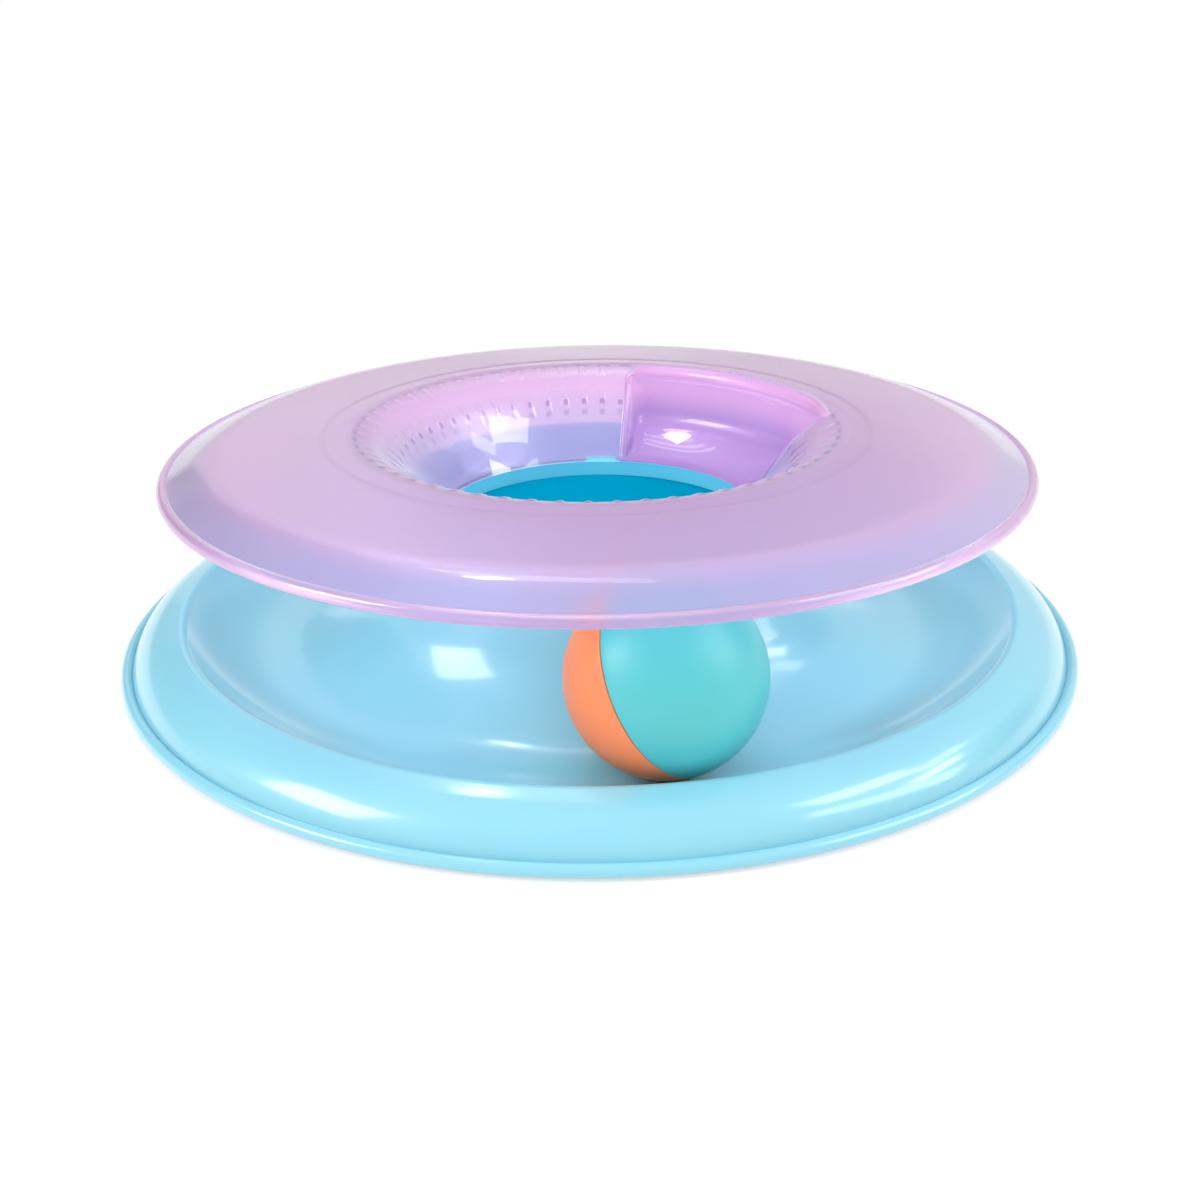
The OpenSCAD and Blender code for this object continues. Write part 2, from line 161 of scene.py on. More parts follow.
def at_length(path, dist, want):
    """Point and normal of a path at a distance along it."""
    for k in range(1, len(path)):
        if dist[k] >= want:
            part = max(0.0, (want - dist[k - 1]) / max(dist[k] - dist[k - 1], 1e-9))
            return (path[k - 1][0].lerp(path[k][0], part),
                    path[k - 1][1].lerp(path[k][1], part).normalized())
    return path[-1][0].copy(), path[-1][1].copy()


def length_at(path, dist, r):
    """Distance along a path, which runs inwards, where it comes to a radius."""
    for k in range(1, len(path)):
        a, b = path[k - 1][0].x, path[k][0].x
        if b <= r:
            part = min(1.0, max(0.0, (a - r) / max(a - b, 1e-9)))
            return dist[k - 1] + (dist[k] - dist[k - 1]) * part
    return dist[-1]


def points(*pairs):
    """Profile points from pairs of numbers."""
    return [Vector(pair) for pair in pairs]


def polar(r, degrees):
    """A point at a distance and direction from the middle."""
    return Vector((r * math.cos(math.radians(degrees)), r * math.sin(math.radians(degrees))))


def arc(cx, cz, r, a0, a1, step=10.0):
    """Points on a circle from one direction to another, in degrees."""
    count = max(1, math.ceil(abs(a1 - a0) / step))
    return [Vector((cx, cz)) + polar(r, a0 + (a1 - a0) * k / count) for k in range(count + 1)]


def bowed(a, b, bow):
    """The middle between two places, moved to the right of the way from one to the other."""
    mid, way = (Vector(a) + Vector(b)) / 2, (Vector(b) - Vector(a)).normalized()
    return mid.x + way.y * bow, mid.y - way.x * bow


def tangent_corner(c, r, a, b):
    """Where two tangents of a circle meet, given the directions of the touching points."""
    m, h = math.radians((a + b) / 2), math.radians((a - b) / 2)
    return (c[0] + r / math.cos(h) * math.cos(m), c[1] + r / math.cos(h) * math.sin(m), r)


def smooth(x):
    """A soft step from 0 to 1."""
    x = min(1.0, max(0.0, x))
    return x * x * (3 - 2 * x)


def spin(p, turn):
    """A profile point (r, z) in millimetres, turned round the axis, in metres."""
    a = math.radians(turn)
    return Vector((p[0] * math.cos(a), p[0] * math.sin(a), p[1])) * MM


# ---------------------------------------------------------------- meshes

def make_object(name, bm, sharp=34.0):
    """Turns a bmesh into an object with smooth faces, sharp only where they fold hard."""
    bmesh.ops.remove_doubles(bm, verts=bm.verts, dist=2e-7)
    bmesh.ops.dissolve_degenerate(bm, edges=bm.edges, dist=1e-7)
    loose = [v for v in bm.verts if not v.link_faces]
    bmesh.ops.delete(bm, geom=loose, context="VERTS")
    bmesh.ops.recalc_face_normals(bm, faces=bm.faces)
    for f in bm.faces:
        f.smooth = True
    for e in bm.edges:
        if len(e.link_faces) == 2 and e.calc_face_angle() > math.radians(sharp):
            e.smooth = False
    mesh = bpy.data.meshes.new(name)
    bm.to_mesh(mesh)
    bm.free()
    obj = bpy.data.objects.new(name, mesh)
    bpy.context.scene.collection.objects.link(obj)
    return obj


def bridge(bm, a, b, closed=True):
    """Quads between two rows of vertices."""
    width = len(a)
    for i in range(width if closed else width - 1):
        k = (i + 1) % width
        bm.faces.new((a[i], a[k], b[k], b[i]))


def ring_mesh(loops, closed_loop=True, closed_ring=True, caps=False):
    """A bmesh of quads between neighbouring loops of points."""
    bm = bmesh.new()
    rows = [[bm.verts.new(p) for p in loop] for loop in loops]
    following = rows[1:] + (rows[:1] if closed_ring else [])
    for a, b in zip(rows, following):
        bridge(bm, a, b, closed_loop)
    if caps:
        bm.faces.new(rows[0])
        bm.faces.new(rows[-1][::-1])
    return bm


def lathe(name, profile, steps, place=Matrix.Identity(4)):
    """A profile from axis to axis, turned round the local Z and then put in place."""
    loops = [[place @ spin(p, 360 * j / steps) for p in profile] for j in range(steps)]
    return make_object(name, ring_mesh(loops, closed_loop=False))


# ---------------------------------------------------------------- paths of the two dishes

disc_start = Vector((DISC_R - DISC_BEAD, DISC_BEAD_Z)) + polar(DISC_BEAD, DISC_BEAD_AT)
crown_slope = (CROWN[1] - SHOULDER[1]) / (SHOULDER[0] - CROWN[0])
step_z = SHOULDER[1] + (SHOULDER[0] - STEP_R) * crown_slope
disc_path = rounded([
    (*disc_start, 0),
    (*SHOULDER, SHOULDER_ROUND),
    (STEP_R + STEP_HALF, step_z + STEP_H / 2, STEP_ROUND),
    (STEP_R - STEP_HALF, step_z - STEP_H / 2, STEP_ROUND),
    (*CROWN, CROWN_ROUND),
    (*BREAK, BREAK_ROUND),
    (*bowed(BREAK, (FUNNEL_R, SEAT_Z), FUNNEL_BOW), FUNNEL_BOW_ROUND),
    (FUNNEL_R, SEAT_Z, 0)], step=2.0, straight=1.0)
disc_dist = lengths(disc_path)

funnel_slope = math.atan2(BREAK[1] - SEAT_Z, BREAK[0] - FUNNEL_R)
funnel_outer = FUNNEL_R + DISC_WALL / math.sin(funnel_slope)
crater_r = funnel_outer + SEAT_GAP / math.sin(funnel_slope)
crest_z = HUB_Z - HUB_ROUND
crest_c = Vector((crater_r + (crest_z - SEAT_Z) / math.tan(funnel_slope)
                  + HUB_ROUND / math.sin(funnel_slope), crest_z))
track_c = Vector((TRACK_R, TRACK_FLOOR + TRACK_ROUND))
flare = math.degrees(math.atan2(crest_c.y - track_c.y, track_c.x - crest_c.x)
                     + math.asin((TRACK_ROUND + HUB_ROUND) / (crest_c - track_c).length))
wall_a = math.radians(TRACK_SLOPE)
wall_end = track_c + TRACK_ROUND * Vector((math.sin(wall_a), -math.cos(wall_a)))
lip_r = wall_end.x + (LIP_Z - wall_end.y) / math.tan(wall_a)
base_bead_c = Vector((BASE_R - BASE_BEAD, RIM_LIFT + BASE_BEAD))
base_start = base_bead_c + polar(BASE_BEAD, BASE_BEAD_AT)
base_path = rounded([
    (*base_start, 0),
    (*FLANGE, FLANGE_ROUND),
    (lip_r, LIP_Z, LIP_ROUND),
    tangent_corner(track_c, TRACK_ROUND, TRACK_SLOPE - 90, -flare - 90),
    tangent_corner(crest_c, HUB_ROUND, 90 - flare, 90 + math.degrees(funnel_slope)),
    (crater_r, SEAT_Z, 0)], step=3.0, straight=4.0)


# ---------------------------------------------------------------- base dish

def base_dish():
    """The dish with its hub; the crest sinks to a level shelf where the pocket stands."""
    edge, gap, jump = 0.35, 0.2, 0.02
    ledge_under, seat_under = LEDGE_Z - BASE_WALL, SEAT_Z - BASE_WALL
    top = [p for p, _ in base_path[:-1]] + points(
        (crater_r, SEAT_Z + edge), (crater_r - edge, SEAT_Z), (BORE_R + edge, SEAT_Z),
        (BORE_R, SEAT_Z - edge), (BORE_R, LEDGE_Z), (LEDGE_R, LEDGE_Z))
    bottom = points((LEDGE_R, ledge_under), (BORE_R + BASE_WALL, ledge_under),
                    (BORE_R + BASE_WALL, seat_under))
    bottom += [p + n * BASE_WALL for p, n in reversed(base_path)]
    rim = arc(*base_bead_c, BASE_BEAD, -BASE_BEAD_AT, BASE_BEAD_AT)[:-1]
    a0, a1 = pocket_turns(gap, FUNNEL_R)
    wall = math.degrees(BASE_WALL / crater_r)
    turns = {float(k) for k in range(360)}
    for extra in (0.0, wall):
        turns.update((a0 - extra, a0 - extra - jump, a1 + extra, a1 + extra + jump))
    loops = []
    for t in sorted(turns):
        cut_top = a0 - NEAR_ZERO <= t <= a1 + NEAR_ZERO
        cut_under = a0 - wall - NEAR_ZERO <= t <= a1 + wall + NEAR_ZERO
        up = [Vector((p.x, min(p.y, SEAT_Z))) if cut_top else p for p in top]
        low = [Vector((p.x, min(p.y, seat_under))) if cut_under else p for p in bottom]
        loops.append([spin(p, t) for p in up + low + rim])
    return make_object("base_dish_shell", ring_mesh(loops))


def key_lug(turn):
    """One lug on the seat, with rounded upper edges and a face that leans back with the funnel."""
    half, high, sunk = NOTCH_W / 2 - KEY_SLACK, NOTCH_H - KEY_DROP, 0.5
    front, back, e = FUNNEL_R + 0.9, crater_r + 0.3, 0.4
    section = [(-half, -sunk), (-half, high - e), (-half + e, high), (half - e, high),
               (half, high - e), (half, -sunk)]
    out, side = polar(1, turn).to_3d(), polar(1, turn + 90).to_3d()
    loops = []
    for r, inset in ((front, e), (front + e, 0), (back, 0)):
        loop = []
        for x, z in section:
            lean = max(z, 0.0) / math.tan(funnel_slope) if r < back else 0.0
            rise = Vector((0, 0, SEAT_Z + min(z, high - inset)))
            loop.append((out * min(r + lean, back) + side * x * (1 - inset / half) + rise) * MM)
        loops.append(loop)
    return make_object("hub_key", ring_mesh(loops, closed_ring=False, caps=True))


# ---------------------------------------------------------------- top disc

def nub_places():
    """Distances along the disc's path of the two rows, where it has their slopes."""
    return [next(d for (_, n), d in zip(disc_path, disc_dist)
                 if math.degrees(math.atan2(n.x, -n.y)) >= slope) for slope in NUB_SLOPES]


nub_rows = nub_places()


def nub_height(dist, r, turn):
    """Height of the nubs over the disc, at a distance along its path and a turn."""
    if POCKET_TURN - NUB_CLEAR < turn % 360 < POCKET_TURN + POCKET_SWEEP + NUB_CLEAR:
        return 0.0
    off = ((turn - KEY_TURN + NUB_PITCH / 2) % NUB_PITCH) - NUB_PITCH / 2
    side = abs(math.radians(off) * r) / NUB_HALF
    if side >= 1:
        return 0.0
    best = 0.0
    for row in nub_rows:
        left = NUB_LONG / 2 + NUB_END - abs(dist - row)
        if left > 0:
            end = min(left / NUB_END_ROUND, 1.0)
            best = max(best, math.sqrt(1 - (1 - end) ** 2))
    return NUB_HIGH * best * math.sqrt(1 - side * side)


def pocket_turns(gap, r):
    """The turns where the pocket's opening begins and ends, with a gap at a radius."""
    slack = math.degrees(gap / r)
    return POCKET_TURN - slack, POCKET_TURN + POCKET_SWEEP + slack


def pocket_outline(w):
    """Lip radius and how far the outline stands in, so far along it from the first side."""
    rest = POCKET_SPAN - w
    lip = min(FIRST_LIP + (POCKET_LIP - FIRST_LIP) * smooth(w / FIRST_GROWS),
              LAST_LIP + (POCKET_LIP - LAST_LIP) * smooth(rest / LAST_GROWS))
    shift = 0.0
    for edge, corner in ((w, FIRST_CORNER), (rest, LAST_CORNER)):
        if edge < corner:
            short = corner - max(edge, 0.0)
            shift = max(shift, corner - math.sqrt(max(0.0, corner ** 2 - short ** 2)))
    return lip, shift


def hole_radius(turn):
    """Where the disc ends at the pocket's lip."""
    lip, shift = pocket_outline(math.radians(turn - POCKET_TURN) * POCKET_TOP_R)
    return POCKET_TOP_R + 2 * lip - shift - HOLE_OVERLAP


def disc_turns(a0, a1):
    """Columns of the disc's grid: close together over the nubs and the pocket's corners."""
    over_nub = (0.0, 0.3, 0.6, 0.85, 1.05, 1.2, 1.7, 2.3)
    in_corner = (0.05, 0.15, 0.3, 0.5, 0.75, 1.05, 1.4, 1.8, 2.3, 2.8, 3.4, 4.0, 4.7, 5.4)
    clear, past_corner = 0.1, 5.6
    turns = set()
    for k in range(NUBS):
        mid = KEY_TURN + k * NUB_PITCH
        for d in over_nub:
            turns.update((round((mid + d) % 360, 4), round((mid - d) % 360, 4)))
        turns.add(round((mid + NUB_PITCH / 2) % 360, 4))
    middle = [a for a in turns if a0 + past_corner < a < a1 - past_corner]
    outside = [a for a in turns if a < a0 - clear or a > a1 + clear]
    corners = [a0, a1]
    for d in in_corner:
        corners += [a0 + d, a1 - d]
    for mid in KEY_TURNS:
        for a in (mid - NOTCH_HALF_TURN, mid + NOTCH_HALF_TURN):
            outside = [t for t in outside if abs((t - a + 180) % 360 - 180) > 1.5 * clear]
            if not a0 - 2 * clear < a % 360 < a1 + 2 * clear:
                outside.append(a % 360)
    return sorted(outside + corners + middle)


def drawn_rows(start, near, edge):
    """Distances of the grid's rows, with those past start drawn to a hole that begins at edge."""
    first, middle, last = disc_dist[start], disc_dist[near], disc_dist[-1]
    places = list(disc_dist)
    for k in range(start + 1, len(places)):
        if k <= near:
            places[k] = first + (disc_dist[k] - first) / (middle - first) * (edge - first)
        else:
            places[k] = edge + (disc_dist[k] - middle) / (last - middle) * (last - edge)
    return places


def skin_points(places, turn):
    """One column of the disc's grid: points of its upper and of its lower skin."""
    upper, lower = [], []
    for k, d in enumerate(places):
        p, n = disc_path[k] if d == disc_dist[k] else at_length(disc_path, disc_dist, d)
        nub = nub_height(d, p.x, turn) if p.x < NUB_MAX_R else 0.0
        low = p + n * DISC_WALL if k < len(places) - 1 else Vector((funnel_outer, SEAT_Z))
        low.y = max(low.y, SEAT_Z)
        upper.append(spin(p - n * nub, turn))
        lower.append(spin(low, turn))
    return upper, lower


def disc_holes(turns, a0, a1, near):
    """Cells of the disc's grid that are left out: the pocket's opening and the keys' notches."""
    slack = 1e-3
    gone = set()
    for j, t in enumerate(turns):
        offs = [(t - mid + 180) % 360 - 180 for mid in KEY_TURNS]
        if a0 - NEAR_ZERO <= t < a1 - NEAR_ZERO:
            gone.update((j, i) for i in range(near, len(disc_path) - 1))
        elif any(-NOTCH_HALF_TURN - slack <= off < NOTCH_HALF_TURN - slack for off in offs):
            gone.update((j, i) for i, (p, _) in enumerate(disc_path[:-1])
                        if p.y < SEAT_Z + NOTCH_H)
    return gone


def top_disc():
    """The disc and funnel as two skins on one grid, with the pocket's opening left out."""
    a0, a1 = pocket_turns(0.12, BREAK[0])
    width = len(disc_path)
    near = min(range(width), key=lambda i: abs(disc_path[i][0].x - POCKET_HOLE_R))
    start = max(i for i in range(width) if disc_path[i][0].x > POCKET_HOLE_R + 4.0)
    turns = disc_turns(a0, a1)
    count = len(turns)
    bm = bmesh.new()
    upper, lower = [], []
    for t in turns:
        places = disc_dist
        if a0 - NEAR_ZERO <= t <= a1 + NEAR_ZERO:
            places = drawn_rows(start, near, length_at(disc_path, disc_dist, hole_radius(t)))
        for skin, column in zip((upper, lower), skin_points(places, t)):
            skin.append([bm.verts.new(p) for p in column])
    gone = disc_holes(turns, a0, a1, near)
    for j in range(count):
        j2 = (j + 1) % count
        for i in range(width - 1):
            if (j, i) in gone:
                continue
            a, b, c, d = upper[j][i], upper[j][i + 1], upper[j2][i + 1], upper[j2][i]
            e, f, g, h = lower[j][i], lower[j][i + 1], lower[j2][i + 1], lower[j2][i]
            bm.faces.new((a, b, c, d))
            bm.faces.new((e, h, g, f))
            if (j, i - 1) in gone:
                bm.faces.new((a, d, h, e))
            if (j, i + 1) in gone or i == width - 2:
                bm.faces.new((b, f, g, c))
            if ((j - 1) % count, i) in gone:
                bm.faces.new((a, e, f, b))
            if (j2, i) in gone:
                bm.faces.new((d, c, g, h))
    # The round bead joins the two skins at the rim
    bead = arc(DISC_R - DISC_BEAD, DISC_BEAD_Z, DISC_BEAD, DISC_BEAD_AT, DISC_BEAD_END)[1:]
    rows = [[bm.verts.new(spin(p, t)) for t in turns] for p in bead]
    rows = [[column[0] for column in upper]] + rows + [[column[0] for column in lower]]
    for row, following in zip(rows, rows[1:]):
        bridge(bm, row, following)
    return make_object("top_disc_shell", bm)


# ---------------------------------------------------------------- pocket

pocket_foot = (FUNNEL_R, SEAT_Z + POCKET_EDGE)
pocket_path = rounded([
    (POCKET_TOP_R, CROWN[1] + LIP_STAND - POCKET_LIP - 0.1, 0),
    (*POCKET_BACK, POCKET_ROUND),
    (*bowed(POCKET_BACK, pocket_foot, POCKET_BOW), POCKET_BOW_ROUND),
    (*pocket_foot, 0)], step=6.0, straight=0.9)
pocket_dist = lengths(pocket_path)
# Where the wall has turned into the floor, and how steeply the floor climbs outwards
floor_start = next(d for (_, n), d in zip(pocket_path, pocket_dist) if n.x < abs(n.y) * 0.45)
floor_rise = (POCKET_BACK[1] - pocket_foot[1]) / (POCKET_BACK[0] - pocket_foot[0])
# Where the side walls' upper edges begin on the disc's path
side_start = length_at(disc_path, disc_dist, POCKET_TOP_R + 0.3)


def side_marks(depth, fillet):
    """Points (distance in from the side, height over the floor) up and over one side wall."""
    rim, lean, lowest = 0.95, 0.04, 0.4
    if depth < lowest:
        # Flat, with as many points as a side wall has, so that all the cross loops match
        width, count = 2.1, 19
        return [(width * k / count, 0.0) for k in range(1, count + 1)]
    rho = min(rim, depth * 0.45)
    neck = depth - rho
    fillet = min(fillet, neck)
    drop = neck - fillet
    foot = 2 * rim + lean * drop
    marks = [(0.0, k / 3 * neck) for k in (1, 2, 3)]
    marks += [(rho - x, neck + z) for x, z in (polar(rho, a) for a in (30, 60, 90))]
    marks += [(2 * rim - rho + x, neck + z) for x, z in (polar(rho, a) for a in (90, 60, 30, 0))]
    marks += [(2 * rim + lean * k / 3 * drop, neck - k / 3 * drop) for k in (1, 2, 3)]
    marks += [(foot + fillet - x, fillet - z)
              for x, z in (polar(fillet, a) for a in range(15, 91, 15))]
    return marks


def cross_places(total, depth):
    """Places across the pocket: distance from its first side, and height up the side wall."""
    near, count = (0.4, 0.8, 1.3, 1.8, 2.4, 3.1, 4.0, 5.0, 6.2, 7.6, 9.2), 26
    first, last = side_marks(depth, FIRST_FILLET), side_marks(depth, LAST_FILLET)
    in0, in1 = first[-1][0], last[-1][0]
    room = total - in0 - in1 - 2 * near[-1]
    across = [(0.0, 0.0)] + first
    across += [(in0 + d, 0.0) for d in near]
    across += [(in0 + near[-1] + room * k / count, 0.0) for k in range(1, count)]
    across += [(total - in1 - d, 0.0) for d in reversed(near)]
    across += [(total - w, h) for w, h in reversed(last)]
    return across + [(total, 0.0)]


def surface(r):
    """Height of the disc at a radius."""
    return at_length(disc_path, disc_dist, length_at(disc_path, disc_dist, r))[0].y


def lip_point(angle, w):
    """A point on the rolled lip, so far along it from the first side."""
    lip = pocket_outline(w)[0]
    top = CROWN[1] + LIP_STAND - 0.5 * (1 - lip / POCKET_LIP)
    return Vector((POCKET_TOP_R + lip, top - lip)) + polar(lip, angle)


def lip_station(angle):
    """One row of the lip, in the form that body_station has; it has no side walls."""
    return lambda w: (lip_point(angle, w), lip_point(LIP_FROM, w), None, 1.0, 1.0)


def body_station(k):
    """One row of the wall and floor, as a function of the distance along the outline.

    It gives the row's point, the point under it, the side wall's upper edge, how much of the
    outline's shift the row follows, and whether it sinks with the lip (1) or with the floor (0).
    """
    (p, n), s, end = pocket_path[k], pocket_dist[k], pocket_dist[-1]
    thick = POCKET_WALL * min(1.0, FOOT_THIN + (end - s) / FOOT_TAPER)
    low = p + n * thick
    low.y = max(low.y, SEAT_Z + FOOT_GAP)
    share = s / end
    fades_from = floor_start * 0.7
    follows = 1 - smooth((s - fades_from) / (end - fades_from))
    high = 1 - smooth(s / floor_start)

    def at(w):
        reach = side_start + share * (disc_dist[-1] - side_start)
        reach += 1.1 * pocket_outline(w)[1] * follows * (1 - share)
        top = at_length(disc_path, disc_dist, reach)[0]
        under = Vector((low.x, min(low.y, lip_point(LIP_FROM, w).y)))
        hollow = POCKET_HOLLOW * thick * (1 - follows) * math.sin(math.pi * w / POCKET_SPAN)
        return p + n * hollow, under, top, follows, high
    return at


def pocket_tray():
    """The pocket as cross loops from lip to foot: rolled lip, wall, floor and two side walls."""
    stations = [lip_station(angle) for angle in range(LIP_FROM, 181, LIP_STEP)]
    stations += [body_station(k) for k in range(len(pocket_path))]
    loops = []
    for station in stations:
        p, _, top, _, _ = station(POCKET_SPAN / 2)
        r = p.x
        depth = (top - p).length if top else 0.0
        inside, outside = [], []
        for w, h in cross_places(math.radians(POCKET_SWEEP) * r, depth):
            along = w * POCKET_TOP_R / r
            p, low, top, follows, high = station(along)
            shift = pocket_outline(along)[1]
            sink = high * (surface(LIP_SEAT_R - shift) - surface(LIP_SEAT_R))
            slide = Vector((-shift, sink - (1 - high) * floor_rise * shift)) * follows
            q = p + slide
            if h > 0 and depth > 0:
                q = q + (top - q) * (h / depth)
            turn = POCKET_TURN + math.degrees(w / r)
            inside.append(spin(q, turn))
            outside.append(spin(low + slide, turn))
        loops.append(inside + outside[::-1])
    bm = ring_mesh(loops, closed_ring=False)
    bm.verts.ensure_lookup_table()
    width = len(loops[0])
    for row in (0, len(loops) - 1):
        ring = [bm.verts[row * width + k] for k in range(width)]
        bridge(bm, ring[:width // 2], ring[:width // 2 - 1:-1], closed=False)
    return make_object("scoop_pocket_tray", bm, sharp=50.0)


# ---------------------------------------------------------------- ball, bead, cap and pads

ball_c = polar(TRACK_R, BALL_TURN).to_3d() + Vector((0, 0, TRACK_FLOOR + ROLL_GAP + BALL_R))
AT_BALL = (Matrix.Translation(ball_c * MM)
           @ Matrix.Rotation(math.radians(SEAM_TURN), 4, "Z")
           @ Matrix.Rotation(math.radians(90 - SEAM_RISE), 4, "Y"))


def ball_half(name, sign):
    """Half of the hollow ball: rounded seam edge, and a lap that closes the joint."""
    seam, e, play = 0.06, 0.3, 0.05
    inner, lap = BALL_R - BALL_WALL, BALL_R - BALL_WALL / 2
    lap_r, foot = (lap - play, -2.0) if sign > 0 else (lap + play, 2.1)
    seam_at = math.degrees(math.asin((seam + e) / BALL_R))
    inner_at = math.degrees(math.asin(max(foot, 0.0) / inner))
    profile = arc(0, 0, BALL_R, 90, seam_at, step=3.0)
    profile += points((BALL_R - 0.04, seam + e * 0.45), (BALL_R - e * 0.8, seam),
                      (lap_r, seam), (lap_r, foot), (inner, foot))
    profile += arc(0, 0, inner, inner_at, 90, step=5.0)
    return lathe(name, [Vector((p.x, p.y * sign)) for p in profile], 144, AT_BALL)


def rattle_bead():
    """A moulded bead with a fine parting line."""
    line_deep, line_wide = 0.06, 2.5
    centre = ball_c - Vector((0, 0, BALL_R - BALL_WALL - ROLL_GAP - RATTLE_R))
    profile = [polar(RATTLE_R - line_deep * math.exp(-(a / line_wide) ** 2), a)
               for a in range(90, -91, -3)]
    return lathe("rattle_bead_shell", profile, 72, Matrix.Translation(centre * MM))


def centre_cap():
    """The cap's plate with a rounded edge, its skirt and snap bead."""
    rim, skirt, bead = BORE_R - 0.1, LEDGE_R - 0.1, 0.5
    foot, under, chamfer = LEDGE_Z - 7.0, LEDGE_Z + 0.02, 0.4
    inside = skirt - 1.6
    profile = points(*[(r, CAP_Z) for r in (0, 8, 16, 24, 32, 38)])
    profile += arc(rim - bead, CAP_Z - bead, bead, 90, 0, step=18.0)
    profile += points((rim, under), (skirt, under))
    profile += arc(skirt, LEDGE_Z - 2.8, bead, 90, -90, step=22.5)
    profile += points((skirt, foot + chamfer), (skirt - chamfer, foot), (inside + chamfer, foot),
                      (inside, foot + chamfer), (inside, LEDGE_Z - 0.6), (inside - 0.6, LEDGE_Z))
    profile += points(*[(r, LEDGE_Z) for r in (30, 20, 10, 0)])
    return lathe("centre_cap_plate", profile, 192)


def grip_pad(k):
    """A soft pad with rounded edges; its upper face follows the underside of the track."""
    centre = polar(TRACK_R, 45 + 90 * k).to_3d()
    edge, steps, tread_r, tread_z = 0.45, 96, 6.0, 0.12
    under = TRACK_ROUND + BASE_WALL + 0.02
    below = ((0.0, tread_z), (3.0, tread_z), (5.6, tread_z), (tread_r, 0.0), (PAD_R - edge, 0.0),
             (PAD_R - edge * 0.3, edge * 0.3), (PAD_R, edge))
    rows = []
    for j in range(steps):
        way = polar(1, 360 * j / steps).to_3d()
        row = [centre + way * r + Vector((0, 0, z)) for r, z in below]
        for r in (PAD_R, tread_r, 3.0, 0.0):
            p = centre + way * r
            off = math.hypot(p.x, p.y) - TRACK_R
            row.append(p + Vector((0, 0, track_c.y - math.sqrt(under ** 2 - off ** 2))))
        rows.append([p * MM for p in row])
    return make_object(f"grip_pad_{k + 1}", ring_mesh(rows, closed_loop=False))


# ---------------------------------------------------------------- node trees

class Tree:
    """Builds nodes in a tree; an input takes a number, a colour or another node's output."""

    def __init__(self, owner):
        owner.use_nodes = True
        self.nodes, self.links = owner.node_tree.nodes, owner.node_tree.links

    def feed(self, node, inputs):
        """Links or sets a node's inputs, which go by name or by number."""
        for key, value in inputs.items():
            if isinstance(value, bpy.types.NodeSocket):
                self.links.new(value, node.inputs[key])
            else:
                node.inputs[key].default_value = value

    def add(self, kind, inputs=None, **settings):
        """One node; gives its outputs."""
        node = self.nodes.new("ShaderNode" + kind)
        for name, value in settings.items():
            setattr(node, name, value)
        self.feed(node, inputs or {})
        return node.outputs

    def place(self):
        """Where a point lies, in the object's own axes, which are those of the shared frame."""
        return self.add("TexCoord")["Object"]

    def math(self, operation, a, b=0.0):
        """Arithmetic on two values."""
        return self.add("Math", {0: a, 1: b}, operation=operation)["Value"]

    def length(self, vector):
        """A vector's length."""
        return self.add("VectorMath", {0: vector}, operation="LENGTH")["Value"]

    def reach(self, place):
        """Distance from the toy's axis."""
        flat = self.add("VectorMath", {0: place, 1: (1, 1, 0)}, operation="MULTIPLY")["Vector"]
        return self.length(flat)

    def part(self, vector, axis):
        """One number of a vector."""
        return self.add("SeparateXYZ", {0: vector})[axis]

    def ramp(self, value, start, end, first=0.0, last=1.0):
        """A soft change from first to last as a value goes from start to end."""
        if start > end:
            start, end, first, last = end, start, last, first
        return self.add("MapRange", {
            "Value": value, "From Min": start, "From Max": end, "To Min": first, "To Max": last,
        }, interpolation_type="SMOOTHSTEP")["Result"]

    def mix(self, share, a, b):
        """A mix of two colours."""
        return self.add("Mix", {"Factor": share, "A": a, "B": b}, data_type="RGBA")["Result"]

    def mix_shader(self, share, a, b):
        """A mix of two shaders."""
        return self.add("MixShader", {"Fac": share, 1: a, 2: b})["Shader"]


def ring_mask(tree, place, start, end):
    """0 at one radius, 1 from another on, in millimetres."""
    return tree.ramp(tree.reach(place), start * MM, end * MM)


def height_mask(tree, place, start, end):
    """0 at one height, 1 from another on, in millimetres."""
    return tree.ramp(tree.part(place, "Z"), start * MM, end * MM)


def nub_shadow_mask(tree, place, r, half_deep, half_wide):
    """Painted shadows at the nubs' ends: short marks at one radius, one on each nub, as a share of
    the pitch across.
    """
    off = tree.math("ABSOLUTE", tree.math("SUBTRACT", tree.reach(place), r * MM))
    there = tree.ramp(off, half_deep * MM, 0.5 * half_deep * MM)
    turn = tree.math("ARCTAN2", tree.part(place, "Y"), tree.part(place, "X"))
    count = tree.math("MULTIPLY", tree.math("SUBTRACT", turn, math.radians(KEY_TURN)),
                      NUBS / math.tau)
    across = tree.ramp(tree.math("PINGPONG", count, 0.5), half_wide, 0.5 * half_wide)
    return tree.math("MULTIPLY", there, across)


# ---------------------------------------------------------------- materials

WHITE = (1, 1, 1, 1)
# How much darker the shade drifts, sizes of drift and grain, and what the grain does
DRIFT, DRIFT_SCALE, GRAIN_SCALE, GRAIN_BUMP, GLOSS_SPREAD = 0.06, 22.0, 900.0, 0.25, 0.04
IOR = 1.47


def srgb(r, g, b):
    """A colour as it looks on screen (0-255), in the linear numbers that nodes take."""
    def one(v):
        v /= 255
        return v / 12.92 if v <= 0.04045 else ((v + 0.055) / 1.055) ** 2.4
    return one(r), one(g), one(b), 1.0


